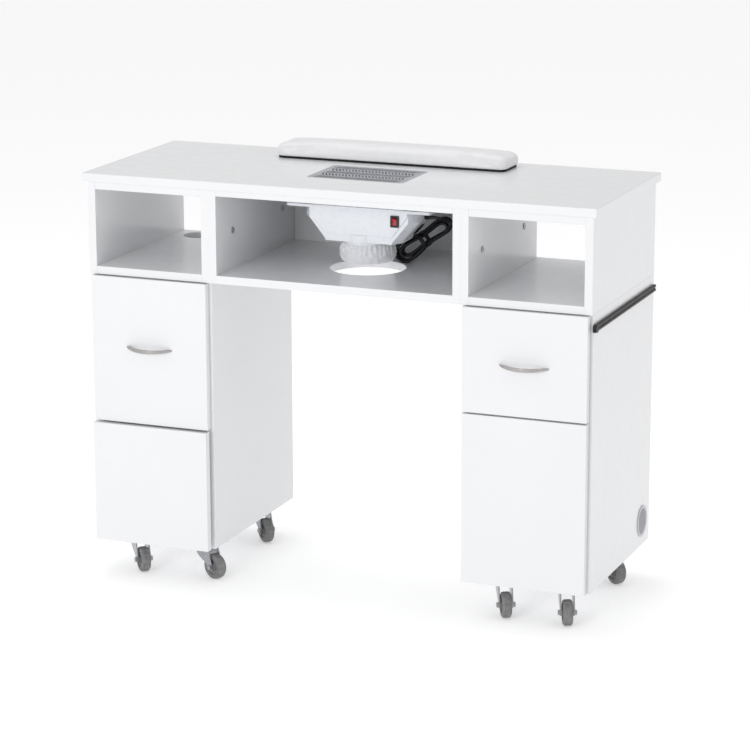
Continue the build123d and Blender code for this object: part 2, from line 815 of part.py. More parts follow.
post_height = flange_drop - centre_top_board
switch_x = switch_from_middle
switch_z = flange_bottom - switch_below_flange
with BuildPart() as collector_housing:
    add(collector_shape(0, 0))
    with BuildSketch(sheet_plane(flange_bottom)):
        with Locations((0, collector_y)):
            RectangleRounded(flange_width, flange_depth, 5)
    extrude(amount=flange_thickness)
    add(hopper_shape(0, 0))
    with BuildSketch(sheet_plane(flange_top)):
        with Locations((0, collector_y)):
            with GridLocations(flange_width - 30, flange_depth - 30, 2, 2):
                Circle(7)
    extrude(amount=post_height)
    with BuildSketch(sheet_plane(body_bottom)):
        with Locations((0, body_front_y - chin_reach + chin_radius)):
            Circle(chin_radius)
    extrude(amount=cover_bottom_z - body_bottom)
    add(collector_shape(collector_wall, flange_thickness), mode=Mode.SUBTRACT)
    add(hopper_shape(collector_wall, 1), mode=Mode.SUBTRACT)
    with BuildSketch(sheet_plane(body_bottom)):
        with Locations((0, collector_y)):
            Circle(outlet_radius)
    extrude(amount=3 * collector_wall, mode=Mode.SUBTRACT)
    with BuildSketch(front_plane(body_front_y)):
        with Locations((switch_x, switch_z)):
            Rectangle(switch_width - 2, switch_height - 2)
    extrude(amount=-2 * collector_wall, mode=Mode.SUBTRACT)
save(collector_housing, "collector_housing")

# The raised front cover, with an opening for the switch.
cover_side = cover_top_width / 2
cover_foot = cover_bottom_width / 2
with BuildPart() as collector_cover:
    with BuildSketch(front_plane(body_front_y)) as cover_outline:
        Polygon(
            (-cover_side, flange_bottom),
            (-cover_side, flange_bottom - cover_upright),
            (-cover_foot, cover_bottom_z),
            (cover_foot, cover_bottom_z),
            (cover_side, flange_bottom - cover_upright),
            (cover_side, flange_bottom),
            align=None,
        )
        fillet(cover_outline.vertices().sort_by(Axis.Y)[:2], cover_corner)
        with Locations((switch_x, switch_z)):
            Rectangle(switch_width - 2, switch_height - 2, mode=Mode.SUBTRACT)
    extrude(amount=cover_thickness)
save(collector_cover, "collector_cover")

# Power switch: a bezel clipped through the cover, and a rocker that tips about a pin across it.
bezel_y = body_front_y - cover_thickness
rocker_width = switch_width - 2 * switch_frame - 2
rocker_height = switch_height - 2 * switch_frame - 2
rocker_gap = 0.4
rocker_pin_y = bezel_y + 1.5
with BuildPart() as switch_bezel:
    with BuildSketch(front_plane(bezel_y)):
        with Locations((switch_x, switch_z)):
            RectangleRounded(switch_width + 2, switch_height + 2, 2)
    extrude(amount=2)
    with BuildSketch(front_plane(bezel_y)):
        with Locations((switch_x, switch_z)):
            Rectangle(switch_width - 2.2, switch_height - 2.2)
    extrude(amount=-14)
    with BuildSketch(front_plane(bezel_y - 2)):
        with Locations((switch_x, switch_z)):
            Rectangle(rocker_width + 2 * rocker_gap, rocker_height + 4 * rocker_gap + 0.6)
    extrude(amount=-13, mode=Mode.SUBTRACT)
save(switch_bezel, "switch_bezel")

with BuildPart() as rocker_switch:
    half = rocker_height / 2
    rocker_pin = (switch_x - rocker_width / 2, rocker_pin_y, switch_z)
    with BuildSketch(Plane(rocker_pin, x_dir=(0, 1, 0), z_dir=(1, 0, 0))):
        Polygon(
            (-4.5, half),
            (-3, 0),
            (-4.5, -half),
            (3, -half + 1.5),
            (3, half - 1.5),
            align=None,
            rotation=rocker_tilt,
        )
    extrude(amount=rocker_width)
save(rocker_switch, "rocker_switch")

# Motor on a two-armed bracket across the body, and the fan that turns on its shaft.
fan_bottom = body_bottom + collector_wall + fan_rise
fan_top = fan_bottom + fan_height
motor_bottom = fan_top + 3
inner_depth = body_true_depth - 2 * collector_wall
with BuildPart() as collector_motor:
    with BuildSketch(sheet_plane(motor_bottom)):
        with Locations((0, body_mid_y)):
            Circle(motor_radius)
    extrude(amount=motor_height)
    with BuildSketch(sheet_plane(motor_bottom + motor_height - motor_arm)):
        with Locations((0, body_mid_y)):
            Rectangle(2 * motor_arm, inner_depth)
    extrude(amount=motor_arm)
    with BuildSketch(sheet_plane(fan_bottom + 2)):
        with Locations((0, body_mid_y)):
            Circle(motor_shaft_radius)
    extrude(amount=motor_bottom - fan_bottom - 2)
save(collector_motor, "collector_motor")

with BuildPart() as fan_impeller:
    with BuildSketch(sheet_plane(fan_bottom)):
        with Locations((0, body_mid_y)):
            Circle(fan_hub_radius)
    extrude(amount=fan_height)
    for blade in range(fan_blades):
        turn = 360 * blade / fan_blades
        root = Plane((0, body_mid_y, fan_bottom + fan_height / 2)).rotated((0, 0, turn))
        with BuildSketch(Plane(root.origin, x_dir=root.y_dir, z_dir=root.x_dir)):
            Rectangle(fan_radius * 0.55, 1.6, rotation=38)
        extrude(amount=fan_radius)
    with BuildSketch(sheet_plane(fan_bottom)):
        with Locations((0, body_mid_y)):
            Circle(fan_radius)
    extrude(amount=fan_height, mode=Mode.INTERSECT)
    with BuildSketch(sheet_plane(fan_bottom + 2)):
        with Locations((0, body_mid_y)):
            Circle(motor_shaft_radius + running_clearance)
    extrude(amount=fan_height, mode=Mode.SUBTRACT)
save(fan_impeller, "fan_impeller")

# Outlet collar with a bead that keeps the gathered filter bag on.
collar_outer = outlet_radius + collar_wall
collar_foot = body_bottom - collar_height
with BuildPart() as outlet_collar:
    with BuildSketch(Plane.XZ.offset(-collector_y)) as collar_profile:
        Polygon(
            (outlet_radius, body_bottom),
            (collar_outer, body_bottom),
            (collar_outer, collar_foot + 3),
            (collar_outer + 1.5, collar_foot + 1.5),
            (collar_outer, collar_foot),
            (outlet_radius, collar_foot),
            align=None,
        )
    revolve(axis=Axis((0, collector_y, 0), (0, 0, 1)))
save(outlet_collar, "outlet_collar")

# The bag is a shallow cloth pouch: a gathered neck round the collar, a full belly, a flat bottom.
bag_neck = collar_outer + 1.5 + bag_clearance
bag_top = body_bottom - bag_neck_drop
bag_bottom = collar_foot - bag_depth
with BuildPart() as filter_bag:
    with BuildSketch(Plane.XZ.offset(-collector_y)) as bag_profile:
        with BuildLine() as bag_outline:
            Line((bag_neck, bag_top), (bag_neck + bag_cloth, bag_top))
            Spline(
                (bag_neck + bag_cloth, bag_top),
                (bag_radius, (bag_top + bag_bottom) / 2),
                (bag_radius - 12, bag_bottom),
                tangents=[(0.3, -1), (-1, -0.1)],
            )
            Line((bag_radius - 12, bag_bottom), (0, bag_bottom))
            Line((0, bag_bottom), (0, bag_bottom + bag_cloth))
            Line((0, bag_bottom + bag_cloth), (bag_radius - 12, bag_bottom + bag_cloth))
            Spline(
                (bag_radius - 12, bag_bottom + bag_cloth),
                (bag_radius - bag_cloth, (bag_top + bag_bottom) / 2),
                (bag_neck, bag_top),
                tangents=[(1, 0.1), (-0.3, 1)],
            )
        make_face()
    revolve(axis=Axis((0, collector_y, 0), (0, 0, 1)))
save(filter_bag, "filter_bag")

# A small louvred vent plate lies on the sloping right face.
slope_run = (body_width - body_bottom_width) / 2
slope_length = math.hypot(slope_run, body_slope_height)
down_slope = (-slope_run / slope_length, 0, -body_slope_height / slope_length)
slope_normal = (body_slope_height / slope_length, 0, -slope_run / slope_length)
louvre_origin = (
    body_width / 2 + down_slope[0] * louvre_down_slope,
    collector_y + 16,
    knee_z + down_slope[2] * louvre_down_slope,
)
with BuildPart() as side_louvre:
    with BuildSketch(Plane(louvre_origin, x_dir=(0, 1, 0), z_dir=slope_normal)):
        RectangleRounded(louvre_width, louvre_height, 1.5)
        with GridLocations(1, 5, 1, 4):
            Rectangle(louvre_width - 5, 1.8, mode=Mode.SUBTRACT)
    extrude(amount=1.5)
save(side_louvre, "side_louvre")

# ---------------------------------------------------------------- mains cord
gland_y = collector_y + 2
gland_z = knee_z + gland_radius
gland_tip = body_width / 2 + gland_length
with BuildPart() as cord_gland:
    with BuildSketch(Plane((body_width / 2, gland_y, gland_z), z_dir=(1, 0, 0))):
        Circle(gland_radius)
    extrude(amount=gland_length, taper=6)
save(cord_gland, "cord_gland")

# The spare length is wound into a tied hank that stands behind the collector on the shelf.
hank_gap = 6.0
hank_y = collector_y + body_depth / 2 + hank_gap + hank_thickness / 2
lean = math.radians(hank_lean)
hank_rise = (hank_length - hank_width) / 2 * math.sin(lean) + hank_width / 2
hank_centre = (hank_from_middle, hank_y, shelf_top_z + 1 + hank_rise)
hank_plane = Plane(hank_centre, x_dir=(math.cos(lean), 0, math.sin(lean)), z_dir=(0, -1, 0))
with BuildPart() as cord_hank:
    with BuildSketch(hank_plane):
        SlotOverall(hank_length, hank_width)
    extrude(amount=hank_thickness / 2, both=True)
    fillet(cord_hank.faces().filter_by(Axis.Y).edges(), hank_soft_edge)
save(cord_hank, "cord_hank")


def run_between(route):
    """The lengths of a route's straight runs."""
    return [(Vector(*b) - Vector(*a)).length for a, b in zip(route, route[1:])]


def bend_radii(route):
    """One bend radius per inner point, as large as its two runs allow."""
    runs = run_between(route)
    radii = []
    for index in range(1, len(route) - 1):
        incoming = Vector(*route[index]) - Vector(*route[index - 1])
        outgoing = Vector(*route[index + 1]) - Vector(*route[index])
        half_turn = math.radians(incoming.get_angle(outgoing)) / 2
        radii.append(0.45 * min(runs[index - 1], runs[index]) / math.tan(half_turn))
    return radii


def cord_tube(name, route, cutters):
    """A round cord along straight runs joined by tangent arcs, trimmed where it meets a cutter."""
    radii = bend_radii(route)
    with BuildLine() as path:
        FilletPolyline(*route, radius=radii)
    wire = path.wires()[0]
    length = wire.length
    start = Plane(wire @ 0, z_dir=wire % 0)
    with BuildPart() as tube:
        with BuildSketch(start):
            Circle(cord_diameter / 2)
        sweep(path=wire)
        whole = tube.part.volume
        for cutter in cutters:
            add(cutter, mode=Mode.SUBTRACT)
    section = math.pi * cord_diameter**2 / 4
    print(name, "radii", [round(r, 1) for r in radii])
    print(name, "length", round(length, 1), "volume share", round(whole / section / length, 4))
    return tube, length


lead_route = [
    (gland_tip, gland_y, gland_z),
    (gland_tip + 18, gland_y, gland_z),
    (gland_tip + 31, gland_y + 12, gland_z - 7),
    (gland_tip + 30, gland_y + 33, gland_z - 16),
    (gland_tip + 10, hank_y - hank_thickness / 2 + 2, gland_z - 26),
]
cord_lead, lead_length = cord_tube("cord_lead", lead_route, [cord_hank.part])
save(cord_lead, "cord_lead")

plug_z = shelf_top_z + plug_height / 2
plug_rear = (plug_from_middle, hank_y + plug_behind_hank, plug_z)
tail_route = [
    (hank_centre[0] + 50, hank_y, hank_centre[2] + 13),
    (hank_centre[0] + 73, hank_y + 2, hank_centre[2] + 29),
    (hank_centre[0] + 96, hank_y + 6, hank_centre[2] + 30),
    (hank_centre[0] + 114, hank_y + 12, hank_centre[2] + 14),
    (hank_centre[0] + 121, hank_y + 18, hank_centre[2] - 10),
    (plug_rear[0] + 24, plug_rear[1] - 28, plug_z + 10),
    (plug_rear[0] + 14, plug_rear[1] - 14, plug_z),
    plug_rear,
]
cord_tail, tail_length = cord_tube("cord_tail", tail_route, [cord_hank.part])
save(cord_tail, "cord_tail")
print("cord in the hank", round(cord_length - lead_length - tail_length, 1))

# The plug lies on the shelf with its two flat blades pointing away from the cord.
with BuildPart() as mains_plug:
    plug_axis = Plane(plug_rear, x_dir=(0, 0, 1), z_dir=(-1, 1, 0))
    with BuildSketch(plug_axis):
        Circle(cord_diameter / 2 + 2)
    with BuildSketch(plug_axis.offset(12)):
        RectangleRounded(plug_height, plug_width, 4)
    loft()
    with BuildSketch(plug_axis.offset(12)):
        RectangleRounded(plug_height, plug_width, 4)
    extrude(amount=plug_length - 12)
    with BuildSketch(plug_axis.offset(plug_length)):
        with GridLocations(1, 12.7, 1, 2):
            Rectangle(6.3, 1.5)
    extrude(amount=plug_blade)
save(mains_plug, "mains_plug")
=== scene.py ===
import json
import math

import bpy
from mathutils import Matrix, Vector, noise


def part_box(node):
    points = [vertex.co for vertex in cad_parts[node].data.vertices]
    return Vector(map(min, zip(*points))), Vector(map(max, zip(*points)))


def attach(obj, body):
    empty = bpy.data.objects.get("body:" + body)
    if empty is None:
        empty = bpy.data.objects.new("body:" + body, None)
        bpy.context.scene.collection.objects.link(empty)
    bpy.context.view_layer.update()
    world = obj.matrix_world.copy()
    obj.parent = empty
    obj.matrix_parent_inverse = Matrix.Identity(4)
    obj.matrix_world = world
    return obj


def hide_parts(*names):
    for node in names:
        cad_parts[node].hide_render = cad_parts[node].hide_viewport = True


# Looks of the manicure table. Metres, in the CAD frame: the floor is z = 0, +X is to the
# user's right, +Y towards the armrest.

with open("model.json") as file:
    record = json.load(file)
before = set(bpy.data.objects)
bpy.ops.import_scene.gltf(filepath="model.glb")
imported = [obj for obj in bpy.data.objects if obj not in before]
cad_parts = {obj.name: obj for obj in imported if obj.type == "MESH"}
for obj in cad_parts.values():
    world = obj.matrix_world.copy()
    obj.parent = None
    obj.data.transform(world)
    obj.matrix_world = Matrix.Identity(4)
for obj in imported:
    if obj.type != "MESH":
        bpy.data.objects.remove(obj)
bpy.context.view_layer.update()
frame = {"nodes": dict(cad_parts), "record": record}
record = frame["record"]


# ---------------------------------------------------------------- camera
def make_camera(place, azimuth, elevation, roll, focal_px, image_px=750, sensor_mm=36.0):
    """A camera at place. Azimuth 0 looks along +Y and grows as the camera moves to the right."""
    data = bpy.data.cameras.new("camera")
    data.sensor_width = sensor_mm
    data.lens = sensor_mm * focal_px / image_px
    data.clip_end = 50
    camera = bpy.data.objects.new("camera", data)
    bpy.context.scene.collection.objects.link(camera)
    az, el = math.radians(azimuth), math.radians(elevation)
    towards = Vector((-math.sin(az) * math.cos(el), math.cos(az) * math.cos(el), -math.sin(el)))
    turn = towards.to_track_quat("-Z", "Y").to_matrix().to_4x4()
    camera.matrix_world = Matrix.Translation(place) @ turn @ Matrix.Rotation(math.radians(roll), 4, "Z")
    bpy.context.scene.camera = camera


make_camera((1.9734, -4.8606, 1.7095), azimuth=21.99, elevation=14.08, roll=-0.14, focal_px=2876)


# ---------------------------------------------------------------- materials
def new_material(name, color, roughness, metallic=0.0, coat=0.0, specular=0.5):
    """A material with its uniform values on the shader itself. Returns it with its node tree parts."""
    mat = bpy.data.materials.new(name)
    mat.use_nodes = True
    shader = mat.node_tree.nodes["Principled BSDF"]
    shader.inputs["Base Color"].default_value = (*color, 1)
    shader.inputs["Roughness"].default_value = roughness
    shader.inputs["Metallic"].default_value = metallic
    shader.inputs["Coat Weight"].default_value = coat
    shader.inputs["Coat Roughness"].default_value = 0.08
    shader.inputs["Specular IOR Level"].default_value = specular
    return mat, mat.node_tree, shader


def object_coords(tree, stretch=(1, 1, 1)):
    """Object coordinates in metres, optionally stretched along an axis."""
    coords = tree.nodes.new("ShaderNodeTexCoord")
    mapping = tree.nodes.new("ShaderNodeMapping")
    mapping.inputs["Scale"].default_value = stretch
    tree.links.new(coords.outputs["Object"], mapping.inputs["Vector"])
    return mapping.outputs["Vector"]


def noise_value(tree, vector, scale, detail=4.0, rough=0.55):
    node = tree.nodes.new("ShaderNodeTexNoise")
    node.inputs["Scale"].default_value = scale
    node.inputs["Detail"].default_value = detail
    node.inputs["Roughness"].default_value = rough
    tree.links.new(vector, node.inputs["Vector"])
    return node.outputs["Fac"]


def voronoi_value(tree, vector, scale):
    node = tree.nodes.new("ShaderNodeTexVoronoi")
    node.feature = "F1"
    node.inputs["Scale"].default_value = scale
    tree.links.new(vector, node.inputs["Vector"])
    return node.outputs["Distance"]


def ranged(tree, value, low, high, from_low=0.3, from_high=0.7):
    """Maps a texture value onto low..high."""
    node = tree.nodes.new("ShaderNodeMapRange")
    node.inputs["From Min"].default_value = from_low
    node.inputs["From Max"].default_value = from_high
    node.inputs["To Min"].default_value = low
    node.inputs["To Max"].default_value = high
    tree.links.new(value, node.inputs["Value"])
    return node.outputs["Result"]


def color_between(tree, value, dark, light):
    node = tree.nodes.new("ShaderNodeMix")
    node.data_type = "RGBA"
    node.inputs["A"].default_value = (*dark, 1)
    node.inputs["B"].default_value = (*light, 1)
    tree.links.new(value, node.inputs["Factor"])
    return node.outputs["Result"]


def tinted(tree, shader, value, dark, light):
    """Lets a texture value choose the base colour between dark and light."""
    tree.links.new(color_between(tree, value, dark, light), shader.inputs["Base Color"])


def roughened(tree, shader, value):
    tree.links.new(value, shader.inputs["Roughness"])


def shaded(color, share):
    return tuple(share * c for c in color)


def bump(tree, shader, value, strength, distance, after=None):
    node = tree.nodes.new("ShaderNodeBump")
    node.inputs["Strength"].default_value = strength
    node.inputs["Distance"].default_value = distance
    tree.links.new(value, node.inputs["Height"])
    if after is not None:
        tree.links.new(after.outputs["Normal"], node.inputs["Normal"])
    tree.links.new(node.outputs["Normal"], shader.inputs["Normal"])
    return node


def laminate(name, color, roughness=0.2):
    """White melamine: a slight orange peel, faint cloudiness and clean gloss."""
    mat, tree, shader = new_material(name, color, roughness, coat=0.25)
    at = object_coords(tree)
    cloud = noise_value(tree, at, 5, 3)
    tinted(tree, shader, ranged(tree, cloud, 0, 1), shaded(color, 0.985), color)
    smears = noise_value(tree, at, 40, 4)
    roughened(tree, shader, ranged(tree, smears, roughness - 0.03, roughness + 0.05))
    bump(tree, shader, noise_value(tree, at, 650, 2), 0.06, 0.0004)
    return mat


def metal(name, color, roughness, grain=(1, 1, 1), grain_scale=300, depth=0.00006, wear=0.08):
    """Brushed or plated metal: fine lines stretched by grain, and slightly cloudy patches."""
    mat, tree, shader = new_material(name, color, roughness, metallic=1.0)
    at = object_coords(tree, grain)
    lines = noise_value(tree, at, grain_scale, 5)
    roughened(tree, shader, ranged(tree, lines, max(roughness - wear, 0.03), roughness + wear))
    patches = noise_value(tree, object_coords(tree), 60, 4)
    tinted(tree, shader, ranged(tree, patches, 0, 1), shaded(color, 0.86), color)
    bump(tree, shader, lines, 0.25, depth)
    return mat


def plastic(
    name, color, roughness, grain=900, depth=0.00015, strength=0.2, coat=0.0, shade=0.93, specular=0.5
):
    """Moulded plastic: a fine spark-eroded texture and slightly uneven gloss."""
    mat, tree, shader = new_material(name, color, roughness, coat=coat, specular=specular)
    at = object_coords(tree)
    tinted(tree, shader, ranged(tree, noise_value(tree, at, 22, 4), 0, 1), shaded(color, shade), color)
    smears = noise_value(tree, at, 90, 3)
    roughened(tree, shader, ranged(tree, smears, roughness - 0.05, roughness + 0.07))
    bump(tree, shader, noise_value(tree, at, grain, 3), strength, depth)
    return mat


def rubber(name, color, roughness=0.6):
    """Caster tread: matt, with dust in its fine pits."""
    mat, tree, shader = new_material(name, color, roughness)
    at = object_coords(tree)
    dust = noise_value(tree, at, 120, 6, 0.7)
    dusty = tuple(min(1, 1.7 * c + 0.02) for c in color)
    tinted(tree, shader, ranged(tree, dust, 0, 1, 0.4, 0.75), color, dusty)
    roughened(tree, shader, ranged(tree, dust, roughness - 0.08, roughness + 0.15))
    bump(tree, shader, noise_value(tree, at, 1400, 3), 0.35, 0.0002)
    return mat


def leather(name, color):
    """White coated leather: fine pebbled grain, soft creases and a low sheen."""
    mat, tree, shader = new_material(name, color, 0.38, coat=0.15)
    shader.inputs["Sheen Weight"].default_value = 0.12
    at = object_coords(tree)
    pebbles = voronoi_value(tree, at, 900)
    creases = noise_value(tree, at, 55, 5, 0.6)
    # Painted shade: the crease valleys are tinted 5 % darker than the crests.
    tinted(tree, shader, ranged(tree, creases, 0, 1), shaded(color, 0.95), color)
    roughened(tree, shader, ranged(tree, pebbles, 0.3, 0.46, 0, 0.6))
    first = bump(tree, shader, creases, 0.2, 0.0008)
    bump(tree, shader, pebbles, 0.3, 0.00025, after=first)
    return mat


def non_woven(name, color):
    """Spun-bonded cloth: tangled fibres with a grid of small bond points."""
    mat, tree, shader = new_material(name, color, 0.85, specular=0.25)
    shader.inputs["Sheen Weight"].default_value = 0.3
    shader.inputs["Subsurface Weight"].default_value = 0.1
    shader.inputs["Subsurface Radius"].default_value = (0.002, 0.002, 0.002)
    at = object_coords(tree)
    fibres = noise_value(tree, object_coords(tree, (1, 1, 0.35)), 1600, 6, 0.7)
    points = voronoi_value(tree, at, 620)
    tinted(tree, shader, ranged(tree, points, 0, 1, 0, 0.5), shaded(color, 0.86), color)
    roughened(tree, shader, ranged(tree, fibres, 0.75, 0.95))
    first = bump(tree, shader, fibres, 0.4, 0.0004)
    bump(tree, shader, points, 0.5, 0.0004, after=first)
    return mat


WHITE = (0.80, 0.805, 0.82)
materials = {
    "white_laminate": laminate("white_laminate", WHITE),
    "drawer_board": laminate("drawer_board", (0.74, 0.74, 0.73), 0.45),
    # The chrome's base colour is painted darker and warmer than bright chrome: a painted reflection of dark,
    # brownish surroundings.
    "chrome": metal("chrome", (0.42, 0.4, 0.39), 0.16, grain=(1, 8, 8), wear=0.06),
    "zinc": metal("zinc", (0.42, 0.43, 0.45), 0.28, grain_scale=500, depth=0.0001, wear=0.12),
    "steel": metal("steel", (0.55, 0.55, 0.57), 0.36, grain=(8, 1, 8)),
    "grille_metal": metal("grille_metal", (0.5, 0.51, 0.54), 0.34, grain=(1, 14, 14), grain_scale=200),
    "grey_rubber": rubber("grey_rubber", (0.15, 0.148, 0.148)),
    "white_plastic": plastic("white_plastic", (0.84, 0.86, 0.9), 0.28, coat=0.2, shade=0.985),
    "grey_plastic": plastic("grey_plastic", (0.55, 0.56, 0.58), 0.45),
    "black_plastic": plastic(
        "black_plastic", (0.007, 0.007, 0.008), 0.38, strength=0.12, specular=0.25
    ),
    "black_gloss": plastic("black_gloss", (0.008, 0.008, 0.009), 0.2, strength=0.08),
    "red_plastic": plastic("red_plastic", (0.5, 0.012, 0.02), 0.22, strength=0.08, coat=0.3),
    "bag_cloth": non_woven("bag_cloth", (0.78, 0.79, 0.82)),
    "white_leather": leather("white_leather", (0.8, 0.8, 0.815)),
    # The near-black board under the armrest cushion is partly painted shade: its black also stands in for the
    # shadow gap under the pad.
    "black_board": plastic("black_board", (0.006, 0.006, 0.007), 0.5, grain=300, specular=0.2),
    "motor_metal": metal("motor_metal", (0.25, 0.25, 0.27), 0.4),
    "cord_rubber": plastic(
        "cord_rubber", (0.007, 0.007, 0.009), 0.36, grain=1500, depth=0.0001, specular=0.35
    ),
}
slot_of = {row["node"]: row["material_slot"] for row in record["subparts"]}


# ---------------------------------------------------------------- CAD nodes
BEVEL_BY_SLOT = {"white_laminate": 0.0007, "drawer_board": 0.0005, "zinc": 0.0004, "white_plastic": 0.0009}
SMALL_BEVEL = 0.0003
BEVEL_ANGLE = math.radians(38)
FLAT_ANGLE = math.radians(0.4)
WELD_DISTANCE = 0.00001
SOFT_NODES = {"armrest_cushion", "filter_bag", "cord_lead", "cord_hank", "cord_tail"}


def dress(node, obj):
    """Gives a CAD node its material, rounded edges and smooth shading. Its vertices stay as they are."""
    obj.data.materials.clear()
    obj.data.materials.append(materials[slot_of[node]])
    if node in SOFT_NODES:
        return
    obj.data.polygons.foreach_set("use_smooth", [True] * len(obj.data.polygons))
    weld = obj.modifiers.new("weld", "WELD")
    weld.merge_threshold = WELD_DISTANCE
    flats = obj.modifiers.new("flats", "DECIMATE")
    flats.decimate_type = "DISSOLVE"
    flats.angle_limit = FLAT_ANGLE
    edges = obj.modifiers.new("edges", "BEVEL")
    edges.width = BEVEL_BY_SLOT.get(slot_of[node], SMALL_BEVEL)
    edges.segments = 2
    edges.limit_method = "ANGLE"
    edges.angle_limit = BEVEL_ANGLE
    edges.use_clamp_overlap = True
    normals = obj.modifiers.new("normals", "WEIGHTED_NORMAL")
    normals.mode = "FACE_AREA"
    normals.weight = 80


for node, obj in frame["nodes"].items():
    dress(node, obj)


# ---------------------------------------------------------------- helpers for new pieces
def add_object(name, mesh, slot, body="frame"):
    """Links a finished mesh, gives it its material and lets it ride on its body."""
    obj = bpy.data.objects.new(name, mesh)
    bpy.context.scene.collection.objects.link(obj)
    obj.data.materials.append(materials[slot])
    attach(obj, body)
    return obj


def mesh_from(name, points, faces):
    """A smooth-shaded mesh."""
    mesh = bpy.data.meshes.new(name)
    mesh.from_pydata([tuple(p) for p in points], [], faces)
    mesh.polygons.foreach_set("use_smooth", [True] * len(mesh.polygons))
    mesh.update()
    return mesh


def middle(node):
    """The centre of a CAD node's box."""
    low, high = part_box(node)
    return (low + high) / 2


# ---------------------------------------------------------------- mains cord
CORD = 0.006
LEAD = [(0.1220, -0.005, 0.705), (0.1400, -0.005, 0.705), (0.1530, 0.007, 0.698), (0.1520, 0.028, 0.689)]
TAIL = [
    (0.1590, 0.064, 0.678),
    (0.1820, 0.068, 0.679),
    (0.2000, 0.074, 0.663),
    (0.2070, 0.080, 0.639),
    (0.2000, 0.088, 0.621),
    (0.1900, 0.102, 0.611),
    (0.1760, 0.116, 0.611),
]
HANK_LEAN = math.radians(35)
hank_along = Vector((math.cos(HANK_LEAN), 0, math.sin(HANK_LEAN)))
hank_across = Vector((-math.sin(HANK_LEAN), 0, math.cos(HANK_LEAN)))
hank_deep = Vector((0, 1, 0))
hank_middle = middle("cord_hank")
# One turn of the hank as shares of its half length and half width. The tie is at u = 0, where the
# waist's width holds.
TURN = [
    (1.0, 0.3), (0.9, 0.85), (0.68, 1.0), (0.34, 0.85), (0.0, 1.0), (-0.34, 0.85), (-0.68, 1.0), (-0.9, 0.85),
    (-1.0, 0.3), (-1.0, -0.3), (-0.9, -0.85), (-0.68, -1.0), (-0.34, -0.85), (0.0, -1.0), (0.34, -0.85),
    (0.68, -1.0), (0.9, -0.85), (1.0, -0.3),
]
TURN_LENGTHS = (0.0635, 0.0540, 0.0615, 0.0515, 0.0635, 0.0545)
# Half width of each turn at its lower lobe, which hangs open, and at its upper one, which is
# drawn tighter.
LOWER_WIDTHS = (0.0190, 0.0108, 0.0175, 0.0100, 0.0190, 0.0112)
UPPER_WIDTHS = (0.0145, 0.0092, 0.0155, 0.0096, 0.0148, 0.0092)
WAIST = 0.0115
HANK_DEPTH = 0.0215
# A turn passes into the next one from this point of it on.
TURN_OVER = 12
# Points nearer the tie than this share of the half length take the waist's width.
AT_TIE = 0.1


def hank_turns():
    """The hank's turns as points: loops of differing size, set a little further back each time."""
    points = []
    turns = len(TURN_LENGTHS)
    for turn in range(turns):
        after = min(turn + 1, turns - 1)
        for step, (u, v) in enumerate(TURN):
            mix = max(0.0, (step - TURN_OVER) / (len(TURN) - TURN_OVER))
            length = TURN_LENGTHS[turn] * (1 - mix) + TURN_LENGTHS[after] * mix
            widths = UPPER_WIDTHS if u > 0 else LOWER_WIDTHS
            width = widths[turn] * (1 - mix) + widths[after] * mix
            if abs(u) < AT_TIE:
                width = WAIST * LOWER_WIDTHS[turn] / LOWER_WIDTHS[0]
            done = (turn * len(TURN) + step) / (turns * len(TURN) - 1)
            place = hank_along * (u * length) + hank_across * (v * width)
            points.append(hank_middle + place + hank_deep * (HANK_DEPTH * (done - 0.5)))
    return points


def cord_curve(name, points):
    """The whole cord as one open spline through its route's control points."""
    data = bpy.data.curves.new(name, "CURVE")
    data.dimensions = "3D"
    data.bevel_depth = CORD / 2
    data.bevel_resolution = 5
    data.resolution_u = 8
    data.use_fill_caps = True
    spline = data.splines.new("NURBS")
    spline.points.add(len(points) - 1)
    for point, place in zip(spline.points, points):
        point.co = (*place, 1)
    spline.order_u = 3
    spline.use_endpoint_u = True
    spline.use_smooth = True
    obj = bpy.data.objects.new(name, data)
    bpy.context.scene.collection.objects.link(obj)
    data.materials.append(materials["cord_rubber"])
    return obj


cord = cord_curve("mains_cord", [*LEAD, *hank_turns(), *TAIL])
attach(cord, "frame")
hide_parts("cord_lead", "cord_hank", "cord_tail")


TIE_HALF_LENGTH = 0.004
TIE_HALF_WIDTH = 0.0148
TIE_HALF_DEPTH = 0.0145
TIE_THICKNESS = 0.0012
TIE_AROUND = 32
TIE_SQUARENESS = 0.6


def make_tie():
    """A flat strap wound round the hank: a rounded oblong ring about the hank's length."""
    points, faces = [], []
    for index in range(TIE_AROUND):
        angle = 2 * math.pi * index / TIE_AROUND
        c, s = math.cos(angle), math.sin(angle)
        v = math.copysign(abs(c) ** TIE_SQUARENESS, c)
        w = math.copysign(abs(s) ** TIE_SQUARENESS, s)
        for grow in (0, TIE_THICKNESS):
            across = hank_across * (v * (TIE_HALF_WIDTH + grow))
            deep = hank_deep * (w * (TIE_HALF_DEPTH + grow))
            for u in (-TIE_HALF_LENGTH, TIE_HALF_LENGTH):
                points.append(hank_middle + hank_along * u + across + deep)
    for index in range(TIE_AROUND):
        a, b = 4 * index, 4 * ((index + 1) % TIE_AROUND)
        faces += [
            (a, b, b + 1, a + 1),
            (a + 2, a + 3, b + 3, b + 2),
            (a, a + 2, b + 2, b),
            (a + 1, b + 1, b + 3, a + 3),
        ]
    add_object("cord_tie", mesh_from("cord_tie", points, faces), "black_plastic")


make_tie()


# ---------------------------------------------------------------- armrest cushion
def oblong(half_x, half_y, radius, per_corner):
    """Points round an oblong with rounded corners, starting at its right side."""
    points = []
    for corner, (sx, sy) in enumerate([(1, 1), (-1, 1), (-1, -1), (1, -1)]):
        for step in range(per_corner + 1):
            angle = math.radians(90 * (corner + step / per_corner))
            x = sx * (half_x - radius) + radius * math.cos(angle)
            y = sy * (half_y - radius) + radius * math.sin(angle)
            points.append((x, y))
    return points


